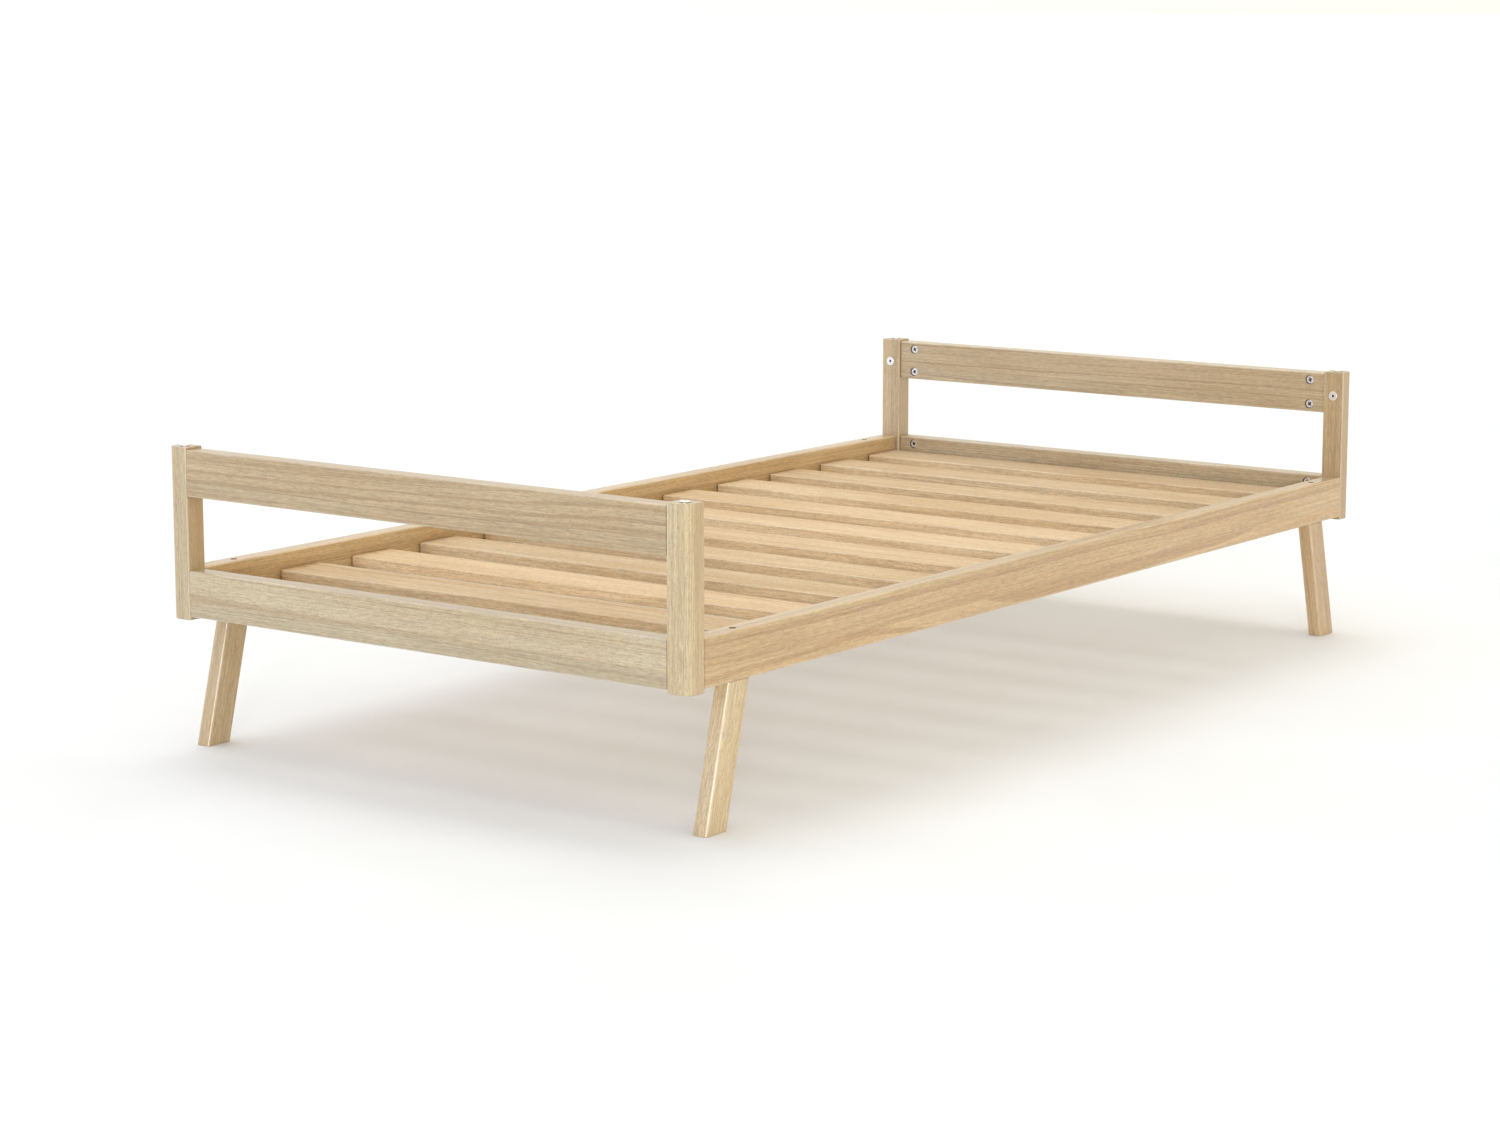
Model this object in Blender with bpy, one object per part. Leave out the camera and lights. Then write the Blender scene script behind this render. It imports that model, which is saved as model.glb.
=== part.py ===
"""Single bed frame in solid beech: two low end frames, side rails, splayed legs and slats.

Metres, +Z up.  The floor is z = 0, +X runs to the head end and +Y to the left side
when standing at the foot end and looking towards the head.
"""
import math

import bmesh
import bpy
from mathutils import Matrix, Vector

for old in list(bpy.data.objects):
    bpy.data.objects.remove(old, do_unlink=True)

# ---------------------------------------------------------------- driving sizes
BED_LENGTH = 1.973            # over the outer faces of the posts
BED_WIDTH = 1.005
FIT_GAP = 0.0003              # between any two touching pieces

POST_DEPTH = 0.036            # along the bed
POST_WIDTH = 0.040            # across the bed
POST_BOTTOM = 0.207
POST_TOP = 0.4745
POST_ROUND = 0.017            # the outer upright corner
POST_EASE = 0.003             # the three other upright corners
POST_END_EASE = 0.0018

RAIL_HEIGHT = 0.072
RAIL_EASE = 0.003
RAIL_END_EASE = 0.0008
RAIL_RECESS = 0.0005          # rail face behind the post face
LOW_RAIL_BOTTOM = 0.2125
TOP_RAIL_BOTTOM = 0.399
END_RAIL_THICK = 0.030
SIDE_RAIL_THICK = 0.032

LEG_DEPTH = 0.049             # along the bed, measured level
LEG_THICK = 0.026
LEG_FOOT_SET = 0.0415         # end plane to the outer edge of the foot
LEG_TOP_SET = 0.096           # end plane to the outer edge of the top
LEG_EASE = 0.0045
LEG_END_EASE = 0.0012

LEDGER_THICK = 0.022
LEDGER_HEIGHT = 0.026
LEDGER_LIFT = 0.0005          # above the underside of the side rail
LEDGER_END_GAP = 0.004
LEDGER_EASE = 0.0015

SLAT_COUNT = 12
SLAT_WIDTH = 0.090
SLAT_THICK = 0.018
SLAT_EASE = 0.0025
SLAT_END_GAP = 0.003
SLAT_POST_GAP = 0.006

CAM_RADIUS = 0.0075
CAM_DEPTH = 0.0125
CAM_SINK = 0.0025             # cam face below the wood face
CAM_SET = 0.031               # joint face to cam centre
CAM_SPREAD = 0.044            # between the two cams of one joint
CAM_RIM = 0.0006
CROSS_LONG = 0.0078
CROSS_SHORT = 0.0021
CROSS_DEEP = 0.0032
CROSS_TURN = math.radians(30)

BOLT_HEAD_RADIUS = 0.0085
BOLT_HEAD_HEIGHT = 0.0018
BOLT_HEAD_RIM = 0.0007
BOLT_SHANK_RADIUS = 0.0045
BOLT_SHANK_LENGTH = 0.026
BOLT_SOCKET_RADIUS = 0.0026
BOLT_SOCKET_DEEP = 0.0040
FACE_BOLT_DROP = 0.043        # post top to bolt centre

LEG_BOLT_HEAD_RADIUS = 0.005
LEG_BOLT_HEAD_HEIGHT = 0.006
LEG_BOLT_SHANK_RADIUS = 0.003
LEG_BOLT_SINK = 0.020         # rail top to bolt head
LEG_BOLT_BITE = 0.030         # into the leg
LEG_BOLT_SOCKET_RADIUS = 0.0029
LEG_BOLT_SOCKET_DEEP = 0.003
LEG_BOLT_RIM = 0.0005

ROUND_STEPS = 24              # sides of every bored or turned circle
EASE_STEPS = 3                # facets in a small eased corner
PLAIN_EASE_STEPS = 2          # facets on the ledgers and slats
POST_ROUND_STEPS = 8
OVERCUT = 0.004               # every cutter starts this far outside the surface
SHARP_ANGLE = math.radians(35)

# ---------------------------------------------------------------- sizes that follow
HALF_LENGTH = BED_LENGTH / 2
HALF_WIDTH = BED_WIDTH / 2
POST_HEIGHT = POST_TOP - POST_BOTTOM
POST_X = HALF_LENGTH - POST_DEPTH / 2
POST_Y = HALF_WIDTH - POST_WIDTH / 2
END_RAIL_LENGTH = BED_WIDTH - 2 * (POST_WIDTH + FIT_GAP)
END_RAIL_X = HALF_LENGTH - RAIL_RECESS - END_RAIL_THICK / 2
SIDE_RAIL_LENGTH = BED_LENGTH - 2 * (POST_DEPTH + FIT_GAP)
SIDE_RAIL_Y = HALF_WIDTH - RAIL_RECESS - SIDE_RAIL_THICK / 2
SIDE_INNER_Y = SIDE_RAIL_Y - SIDE_RAIL_THICK / 2
LOW_RAIL_TOP = LOW_RAIL_BOTTOM + RAIL_HEIGHT
LOW_RAIL_Z = LOW_RAIL_BOTTOM + RAIL_HEIGHT / 2
TOP_RAIL_Z = TOP_RAIL_BOTTOM + RAIL_HEIGHT / 2
LEG_HEIGHT = LOW_RAIL_BOTTOM - FIT_GAP
LEG_TOP_X = HALF_LENGTH - LEG_TOP_SET - LEG_DEPTH / 2
LEG_LEAN = LEG_TOP_SET - LEG_FOOT_SET
LEDGER_LENGTH = BED_LENGTH - 2 * (POST_DEPTH + LEDGER_END_GAP)
LEDGER_Y = SIDE_INNER_Y - FIT_GAP - LEDGER_THICK / 2
LEDGER_BOTTOM = LOW_RAIL_BOTTOM + LEDGER_LIFT
SLAT_Z = LEDGER_BOTTOM + LEDGER_HEIGHT + FIT_GAP + SLAT_THICK / 2
SLAT_LENGTH = 2 * (SIDE_INNER_Y - SLAT_END_GAP)
SLAT_LAST_X = HALF_LENGTH - POST_DEPTH - SLAT_POST_GAP - SLAT_WIDTH / 2

ENDS = (("foot", -1), ("head", 1))
SIDES = (("right", -1), ("left", 1))
UP = Vector((0, 0, 1))


# ---------------------------------------------------------------- materials
def make_material(name, colour, roughness, metallic):
    """One plain material with its colour, roughness and metalness."""
    material = bpy.data.materials.new(name)
    material.use_nodes = True
    shader = material.node_tree.nodes["Principled BSDF"]
    shader.inputs["Base Color"].default_value = (*colour, 1.0)
    shader.inputs["Roughness"].default_value = roughness
    shader.inputs["Metallic"].default_value = metallic
    material.diffuse_color = (*colour, 1.0)
    return material


BEECH = (0.60, 0.44, 0.28)
PLAIN_BEECH = (0.66, 0.52, 0.36)
ZINC = (0.62, 0.63, 0.65)
NICKEL = (0.72, 0.71, 0.69)
STEEL = (0.45, 0.46, 0.48)


# ---------------------------------------------------------------- shaping tools
def corner_ring(width, height, radii, steps, inset):
    """Points round a rectangle whose four corners have their own radius and facets."""
    corners = ((1, 1, 0), (-1, 1, 90), (-1, -1, 180), (1, -1, 270))
    ring = []
    for (side_u, side_v, start), radius, count in zip(corners, radii, steps):
        bend = radius - inset
        centre_u = side_u * (width / 2 - radius)
        centre_v = side_v * (height / 2 - radius)
        for step in range(count + 1):
            angle = math.radians(start + 90 * step / count)
            ring.append((centre_u + bend * math.cos(angle), centre_v + bend * math.sin(angle)))
    return ring


def make_bar(name, size, radii, end_ease, material, steps=None, lean=0.0):
    """A bar along its local Z with eased corners and eased ends, leaning in X if asked."""
    width, height, length = size
    steps = steps or (EASE_STEPS,) * 4
    levels = (
        (-length / 2, end_ease),
        (-length / 2 + end_ease, 0.0),
        (length / 2 - end_ease, 0.0),
        (length / 2, end_ease),
    )
    bm = bmesh.new()
    rings = []
    for level, inset in levels:
        shift = lean * level / length
        points = corner_ring(width, height, radii, steps, inset)
        rings.append([bm.verts.new((u + shift, v, level)) for u, v in points])
    for lower, upper in zip(rings, rings[1:]):
        count = len(lower)
        for index in range(count):
            after = (index + 1) % count
            bm.faces.new((lower[index], lower[after], upper[after], upper[index]))
    bm.faces.new(list(reversed(rings[0])))
    bm.faces.new(rings[-1])
    return finish_mesh(name, bm, material)


def finish_mesh(name, bm, material):
    """Turn a mesh under construction into a smooth-shaded object with its material."""
    bmesh.ops.recalc_face_normals(bm, faces=bm.faces)
    mesh = bpy.data.meshes.new(name)
    bm.to_mesh(mesh)
    bm.free()
    mesh.shade_smooth()
    mesh.set_sharp_from_angle(angle=SHARP_ANGLE)
    piece = bpy.data.objects.new(name, mesh)
    bpy.context.scene.collection.objects.link(piece)
    if material:
        mesh.materials.append(material)
    return piece


def turn_profile(bm, profile, matrix):
    """Spin (radius, height) pairs about local Z into one closed round body."""
    rings = []
    for radius, height in profile:
        ring = []
        for step in range(ROUND_STEPS):
            angle = 2 * math.pi * step / ROUND_STEPS
            point = Vector((radius * math.cos(angle), radius * math.sin(angle), height))
            ring.append(bm.verts.new(matrix @ point))
        rings.append(ring)
    for lower, upper in zip(rings, rings[1:]):
        for index in range(ROUND_STEPS):
            after = (index + 1) % ROUND_STEPS
            bm.faces.new((lower[index], lower[after], upper[after], upper[index]))
    bm.faces.new(list(reversed(rings[0])))
    bm.faces.new(rings[-1])


def aim(point, direction):
    """A frame at the point whose Z runs along the direction."""
    turn = UP.rotation_difference(Vector(direction)).to_matrix().to_4x4()
    return Matrix.Translation(Vector(point)) @ turn


def cut_with(piece, cutter):
    """Take the cutter away from the piece."""
    cutter.hide_render = True
    cutter.display_type = "WIRE"
    modifier = piece.modifiers.new("bore", "BOOLEAN")
    modifier.operation = "DIFFERENCE"
    modifier.solver = "EXACT"
    modifier.object = cutter


def drill(piece, holes):
    """Bore round holes, each given as a mouth point, a direction in and (radius, depth) steps."""
    bm = bmesh.new()
    for mouth, direction, stages in holes:
        profile = [(stages[0][0], -OVERCUT)]
        for number, (radius, depth) in enumerate(stages):
            profile.append((radius, depth))
            if number + 1 < len(stages):
                profile.append((stages[number + 1][0], depth))
        turn_profile(bm, profile, aim(mouth, direction))
    cutter = finish_mesh(piece.name + "_bores", bm, None)
    cut_with(piece, cutter)


def make_socket_screw(name, profile, socket_radius, socket_deep, place, material):
    """A turned screw body with a hexagon socket sunk in its top."""
    bm = bmesh.new()
    turn_profile(bm, profile, Matrix.Identity(4))
    screw = finish_mesh(name, bm, material)
    top = profile[-1][1]
    bm = bmesh.new()
    lower = []
    upper = []
    for step in range(6):
        angle = math.pi * step / 3
        across = (socket_radius * math.cos(angle), socket_radius * math.sin(angle))
        lower.append(bm.verts.new((*across, top - socket_deep)))
        upper.append(bm.verts.new((*across, top + OVERCUT)))
    for index in range(6):
        after = (index + 1) % 6
        bm.faces.new((lower[index], lower[after], upper[after], upper[index]))
    bm.faces.new(list(reversed(lower)))
    bm.faces.new(upper)
    socket = finish_mesh(name + "_socket", bm, None)
    socket.matrix_world = place
    screw.matrix_world = place
    cut_with(screw, socket)
    return screw


def make_cam(name, mouth, direction, material):
    """A round cam fitting sunk in its bore, with a cross recess for the driver."""
    profile = (
        (CAM_RADIUS - CAM_RIM, CAM_SINK),
        (CAM_RADIUS, CAM_SINK + CAM_RIM),
        (CAM_RADIUS, CAM_SINK + CAM_DEPTH),
    )
    place = aim(mouth, direction)
    bm = bmesh.new()
    turn_profile(bm, profile, Matrix.Identity(4))
    cam = finish_mesh(name, bm, material)
    long = CROSS_LONG / 2
    short = CROSS_SHORT / 2
    outline = (
        (long, short), (short, short), (short, long), (-short, long),
        (-short, short), (-long, short), (-long, -short), (-short, -short),
        (-short, -long), (short, -long), (short, -short), (long, -short),
    )
    bm = bmesh.new()
    mouth_ring = [bm.verts.new((u, v, CAM_SINK - OVERCUT)) for u, v in outline]
    floor_ring = [bm.verts.new((u, v, CAM_SINK + CROSS_DEEP)) for u, v in outline]
    for index in range(len(outline)):
        after = (index + 1) % len(outline)
        bm.faces.new((mouth_ring[index], mouth_ring[after], floor_ring[after], floor_ring[index]))
    bm.faces.new(list(reversed(mouth_ring)))
    bm.faces.new(floor_ring)
    cross = finish_mesh(name + "_cross", bm, None)
    cross_turn = Matrix.Rotation(CROSS_TURN, 4, "Z")
    cam.matrix_world = place @ cross_turn
    cross.matrix_world = place @ cross_turn
    cut_with(cam, cross)
    return cam


def cam_bore():
    """Radius and depth of the bore that takes one cam."""
    return ((CAM_RADIUS + FIT_GAP, CAM_SINK + CAM_DEPTH + FIT_GAP),)


# ---------------------------------------------------------------- posts
post_wood = make_material("post_wood", BEECH, 0.42, 0.0)
bolt_metal = make_material("bolt_metal", NICKEL, 0.28, 1.0)
bolt_shank_bore = (BOLT_SHANK_RADIUS + FIT_GAP, BOLT_SHANK_LENGTH + FIT_GAP)
bolt_profile = (
    (BOLT_SHANK_RADIUS, -BOLT_SHANK_LENGTH),
    (BOLT_SHANK_RADIUS, FIT_GAP),
    (BOLT_HEAD_RADIUS, FIT_GAP),
    (BOLT_HEAD_RADIUS, BOLT_HEAD_HEIGHT - BOLT_HEAD_RIM),
    (BOLT_HEAD_RADIUS - BOLT_HEAD_RIM, BOLT_HEAD_HEIGHT),
)
post_corners = ((1, 1), (-1, 1), (-1, -1), (1, -1))
for end, end_sign in ENDS:
    for side, side_sign in SIDES:
        outer = [corner == (end_sign, side_sign) for corner in post_corners]
        post = make_bar(
            f"post_{end}_{side}",
            (POST_DEPTH, POST_WIDTH, POST_HEIGHT),
            [POST_ROUND if is_outer else POST_EASE for is_outer in outer],
            POST_END_EASE,
            post_wood,
            steps=[POST_ROUND_STEPS if is_outer else EASE_STEPS for is_outer in outer],
        )
        post.location = (end_sign * POST_X, side_sign * POST_Y, POST_BOTTOM + POST_HEIGHT / 2)
        top_point = (end_sign * POST_X, side_sign * POST_Y, POST_TOP)
        face_x = end_sign * (HALF_LENGTH - POST_DEPTH)
        face_point = (face_x, side_sign * POST_Y, POST_TOP - FACE_BOLT_DROP)
        drill(post, (
            (top_point, (0, 0, -1), (bolt_shank_bore,)),
            (face_point, (end_sign, 0, 0), (bolt_shank_bore,)),
        ))
        for name, point, outward in (
            (f"top_bolt_{end}_{side}", top_point, (0, 0, 1)),
            (f"face_bolt_{end}_{side}", face_point, (-end_sign, 0, 0)),
        ):
            make_socket_screw(
                name, bolt_profile, BOLT_SOCKET_RADIUS, BOLT_SOCKET_DEEP,
                aim(point, outward), bolt_metal,
            )

# ---------------------------------------------------------------- end rails and their cams
end_rail_wood = make_material("end_rail_wood", BEECH, 0.42, 0.0)
cam_metal = make_material("cam_metal", ZINC, 0.35, 1.0)
for end, end_sign in ENDS:
    inner_x = end_sign * (HALF_LENGTH - RAIL_RECESS - END_RAIL_THICK)
    for level, rail_z in (("bottom", LOW_RAIL_Z), ("top", TOP_RAIL_Z)):
        rail = make_bar(
            f"end_rail_{end}_{level}",
            (END_RAIL_THICK, RAIL_HEIGHT, END_RAIL_LENGTH),
            (RAIL_EASE,) * 4,
            RAIL_END_EASE,
            end_rail_wood,
        )
        rail.location = (end_sign * END_RAIL_X, 0, rail_z)
        rail.rotation_euler = (math.radians(90), 0, 0)
        bores = []
        for side, side_sign in SIDES:
            cam_y = side_sign * (END_RAIL_LENGTH / 2 - CAM_SET)
            for height, up_sign in (("lower", -1), ("upper", 1)):
                mouth = (inner_x, cam_y, rail_z + up_sign * CAM_SPREAD / 2)
                bores.append((mouth, (end_sign, 0, 0), cam_bore()))
                make_cam(f"cam_{end}_{level}_{side}_{height}", mouth, (end_sign, 0, 0), cam_metal)
        drill(rail, bores)

# ---------------------------------------------------------------- side rails, legs and their bolts
side_rail_wood = make_material("side_rail_wood", BEECH, 0.42, 0.0)
leg_wood = make_material("leg_wood", BEECH, 0.42, 0.0)
leg_bolt_metal = make_material("leg_bolt_metal", STEEL, 0.38, 1.0)
leg_bolt_top = LOW_RAIL_TOP - LEG_BOLT_SINK
leg_bolt_end = LEG_HEIGHT - LEG_BOLT_BITE
leg_bolt_neck = leg_bolt_top - LEG_BOLT_HEAD_HEIGHT
leg_bolt_profile = (
    (LEG_BOLT_SHANK_RADIUS - LEG_BOLT_RIM, leg_bolt_end),
    (LEG_BOLT_SHANK_RADIUS, leg_bolt_end + LEG_BOLT_RIM),
    (LEG_BOLT_SHANK_RADIUS, leg_bolt_neck),
    (LEG_BOLT_HEAD_RADIUS, leg_bolt_neck),
    (LEG_BOLT_HEAD_RADIUS, leg_bolt_top - LEG_BOLT_RIM),
    (LEG_BOLT_HEAD_RADIUS - LEG_BOLT_RIM, leg_bolt_top),
)
leg_bolt_bores = (
    (LEG_BOLT_HEAD_RADIUS + FIT_GAP, LEG_BOLT_SINK + LEG_BOLT_HEAD_HEIGHT + FIT_GAP),
    (LEG_BOLT_SHANK_RADIUS + FIT_GAP, RAIL_HEIGHT + OVERCUT),
)
for side, side_sign in SIDES:
    side_rail = make_bar(
        f"side_rail_{side}",
        (RAIL_HEIGHT, SIDE_RAIL_THICK, SIDE_RAIL_LENGTH),
        (RAIL_EASE,) * 4,
        RAIL_END_EASE,
        side_rail_wood,
    )
    side_rail.location = (0, side_sign * SIDE_RAIL_Y, LOW_RAIL_Z)
    side_rail.rotation_euler = (0, math.radians(90), 0)
    bores = []
    for end, end_sign in ENDS:
        cam_x = end_sign * (SIDE_RAIL_LENGTH / 2 - CAM_SET)
        mouth = (cam_x, side_sign * SIDE_INNER_Y, LOW_RAIL_Z)
        bores.append((mouth, (0, side_sign, 0), cam_bore()))
        make_cam(f"cam_side_{side}_{end}", mouth, (0, side_sign, 0), cam_metal)

        leg_x = end_sign * LEG_TOP_X
        leg_y = side_sign * SIDE_RAIL_Y
        bores.append(((leg_x, leg_y, LOW_RAIL_TOP), (0, 0, -1), leg_bolt_bores))
        leg = make_bar(
            f"leg_{end}_{side}",
            (LEG_DEPTH, LEG_THICK, LEG_HEIGHT),
            (LEG_EASE,) * 4,
            LEG_END_EASE,
            leg_wood,
            lean=-end_sign * LEG_LEAN,
        )
        leg.location = (leg_x + end_sign * LEG_LEAN / 2, leg_y, LEG_HEIGHT / 2)
        leg_bore = (LEG_BOLT_SHANK_RADIUS + FIT_GAP, LEG_BOLT_BITE + FIT_GAP)
        drill(leg, (((leg_x, leg_y, LEG_HEIGHT), (0, 0, -1), (leg_bore,)),))
        make_socket_screw(
            f"leg_bolt_{end}_{side}", leg_bolt_profile,
            LEG_BOLT_SOCKET_RADIUS, LEG_BOLT_SOCKET_DEEP,
            Matrix.Translation((leg_x, leg_y, 0)), leg_bolt_metal,
        )
    drill(side_rail, bores)

# ---------------------------------------------------------------- slat ledgers and slats
ledger_wood = make_material("ledger_wood", PLAIN_BEECH, 0.55, 0.0)
for side, side_sign in SIDES:
    ledger = make_bar(
        f"ledger_{side}",
        (LEDGER_HEIGHT, LEDGER_THICK, LEDGER_LENGTH),
        (LEDGER_EASE,) * 4,
        LEDGER_EASE / 2,
        ledger_wood,
        steps=(PLAIN_EASE_STEPS,) * 4,
    )
    ledger.location = (0, side_sign * LEDGER_Y, LEDGER_BOTTOM + LEDGER_HEIGHT / 2)
    ledger.rotation_euler = (0, math.radians(90), 0)

slat_wood = make_material("slat_wood", PLAIN_BEECH, 0.58, 0.0)
for index in range(SLAT_COUNT):
    slat = make_bar(
        f"slat_{index + 1:02d}",
        (SLAT_WIDTH, SLAT_THICK, SLAT_LENGTH),
        (SLAT_EASE,) * 4,
        SLAT_EASE / 2,
        slat_wood,
        steps=(PLAIN_EASE_STEPS,) * 4,
    )
    slat.location = (SLAT_LAST_X * (2 * index / (SLAT_COUNT - 1) - 1), 0, SLAT_Z)
    slat.rotation_euler = (math.radians(90), 0, 0)
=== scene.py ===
"""Looks of a single bed frame in lacquered beech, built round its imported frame."""

import math
import random

import bmesh
import bpy
from mathutils import Matrix, Vector


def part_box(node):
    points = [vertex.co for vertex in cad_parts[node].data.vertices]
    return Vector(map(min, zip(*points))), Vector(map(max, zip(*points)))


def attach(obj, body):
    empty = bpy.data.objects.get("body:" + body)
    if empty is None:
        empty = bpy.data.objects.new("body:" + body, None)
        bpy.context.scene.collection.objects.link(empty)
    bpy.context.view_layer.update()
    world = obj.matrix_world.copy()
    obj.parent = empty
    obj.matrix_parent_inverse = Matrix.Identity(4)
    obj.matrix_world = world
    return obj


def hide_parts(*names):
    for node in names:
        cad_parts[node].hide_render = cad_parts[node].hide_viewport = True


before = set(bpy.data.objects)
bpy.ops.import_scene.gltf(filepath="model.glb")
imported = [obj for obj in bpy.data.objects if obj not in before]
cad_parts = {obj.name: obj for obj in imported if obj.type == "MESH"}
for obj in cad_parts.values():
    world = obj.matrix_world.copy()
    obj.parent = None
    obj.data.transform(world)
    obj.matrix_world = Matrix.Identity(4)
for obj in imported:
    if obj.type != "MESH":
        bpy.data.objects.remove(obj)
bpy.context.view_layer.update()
scene = bpy.context.scene

# ------------------------------------------------------------------ corner posts
# Four upright posts, each glued up from two staves of straight-grained beech. The upright
# corner that faces out is planed to a wide round and the others are only eased. All faces
# have a clear satin lacquer. The rails butt against them and are drawn up by bolts.
ENDS = (("foot", -1), ("head", 1))
SIDES = (("right", -1), ("left", 1))
POST_ROUND = 0.017
POST_EASE = 0.003
POST_END_EASE = 0.0018
POST_STAVE = 0.020
SHARP_ANGLE = math.radians(40)
# Rounds under SMALL_EASE are arrises, painted paler: partly wear, partly a painted highlight.
SMALL_EASE = 0.01  # rounds under this are arrises that wear
SKIN = 0.0002  # points deeper than this under the faces lie in a bore
NEARLY_ALL = 0.9
# Bore walls get painted shade, six times the darkening of a sawn end: partly raw end grain,
# mostly painted shade.
BORE_SHADE = 6.0  # against 1.0 for a sawn end
QUARTER_ROUND = tuple(math.radians(angle) for angle in (0, 22.5, 45, 67.5, 90))
ROUND_STEPS = 20
ARRIS_STEPS = 6
HOLE_SIDES = 48
OVERCUT = 0.004  # how far a cutter starts outside the wood
SHANK_HOLE_RADIUS = 0.0048
SHANK_HOLE_DEPTH = 0.0263
FACE_BOLT_DROP = 0.043
STANDING = Matrix.Identity(4)

BEECH_PALE = (0.650, 0.492, 0.293)
BEECH_WARM = (0.585, 0.412, 0.220)
BEECH_RING = (0.430, 0.270, 0.130)
BEECH_FLECK = (0.240, 0.150, 0.075)
# The colour that darkens sawn end grain, and the painted shade on bore walls.
END_GRAIN_AND_BORE_SHADE = (0.22, 0.16, 0.12)
END_GRAIN_AND_BORE_SHADE_SHARE = 0.15
# Arrises are painted paler: partly lacquer rubbed thin, partly a painted highlight.
WORN_ARRIS_AND_HIGHLIGHT = (0.84, 0.74, 0.57)
WORN_AND_HIGHLIGHT_SHARE = 0.40
LACQUERED = 0.38  # roughness of the wood under lacquer
LACQUER_WEIGHT = 0.65
LACQUER_ROUGHNESS = 0.13
FIBRE_RELIEF = 0.00025


def corner_ring(width, height, radii, steps, inset):
    """Points round a section whose four corners have their own radius."""
    ring = []
    corners = ((1, 1, 0), (-1, 1, 90), (-1, -1, 180), (1, -1, 270))
    for (side_u, side_v, start), radius, count in zip(corners, radii, steps):
        bend = radius - inset
        for step in range(count + 1):
            angle = math.radians(start + 90 * step / count)
            ring.append((
                side_u * (width / 2 - radius) + bend * math.cos(angle),
                side_v * (height / 2 - radius) + bend * math.sin(angle),
            ))
    return ring


def bridge(bm, rings):
    """Closes a body between rings of points, with a face at either end."""
    for lower, upper in zip(rings, rings[1:]):
        for index in range(len(lower)):
            after = (index + 1) % len(lower)
            bm.faces.new((lower[index], lower[after], upper[after], upper[index]))
    bm.faces.new(list(reversed(rings[0])))
    bm.faces.new(rings[-1])


def new_piece(name, bm):
    """Turns a mesh under construction into an object, its faces turned outward."""
    bmesh.ops.recalc_face_normals(bm, faces=bm.faces)
    mesh = bpy.data.meshes.new(name)
    bm.to_mesh(mesh)
    bm.free()
    piece = bpy.data.objects.new(name, mesh)
    scene.collection.objects.link(piece)
    return piece


def smooth_rounds(piece):
    """Smooth rounds, crisp arrises, and wide faces that stay flat beside them."""
    piece.data.shade_smooth()
    piece.data.set_sharp_from_angle(angle=SHARP_ANGLE)
    weighted = piece.modifiers.new("flat_faces", "WEIGHTED_NORMAL")
    weighted.mode = "FACE_AREA"
    weighted.weight = 100
    weighted.keep_sharp = True


def cut_away(piece, cutter):
    """Takes the cutter's shape out of the piece for good."""
    modifier = piece.modifiers.new("cut", "BOOLEAN")
    modifier.operation = "DIFFERENCE"
    modifier.solver = "EXACT"
    modifier.object = cutter
    depsgraph = bpy.context.evaluated_depsgraph_get()
    cut_mesh = bpy.data.meshes.new_from_object(piece.evaluated_get(depsgraph))
    piece.modifiers.clear()
    old_mesh = piece.data
    piece.data = cut_mesh
    bpy.data.meshes.remove(old_mesh)
    cut_mesh.name = piece.name
    bpy.data.objects.remove(cutter, do_unlink=True)


def spin(bm, profile, place, sides=HOLE_SIDES):
    """Turns (radius, depth) pairs about an axis into one closed round body."""
    rings = []
    for radius, depth in profile:
        ring = []
        for side in range(sides):
            angle = 2 * math.pi * side / sides
            point = Vector((radius * math.cos(angle), radius * math.sin(angle), depth))
            ring.append(bm.verts.new(place @ point))
        rings.append(ring)
    bridge(bm, rings)


def aim(point, direction):
    """A seat at the point whose Z runs along the direction."""
    turn = Vector((0, 0, 1)).rotation_difference(Vector(direction)).to_matrix().to_4x4()
    return Matrix.Translation(Vector(point)) @ turn


def bore(piece, holes):
    """Bores round holes, each a mouth point, a direction in, and its (radius, depth) pairs."""
    bm = bmesh.new()
    for mouth, direction, stages in holes:
        spin(bm, [(stages[0][0], -OVERCUT), *stages], aim(mouth, direction))
    cut_away(piece, new_piece(piece.name + "_bores", bm))


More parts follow.
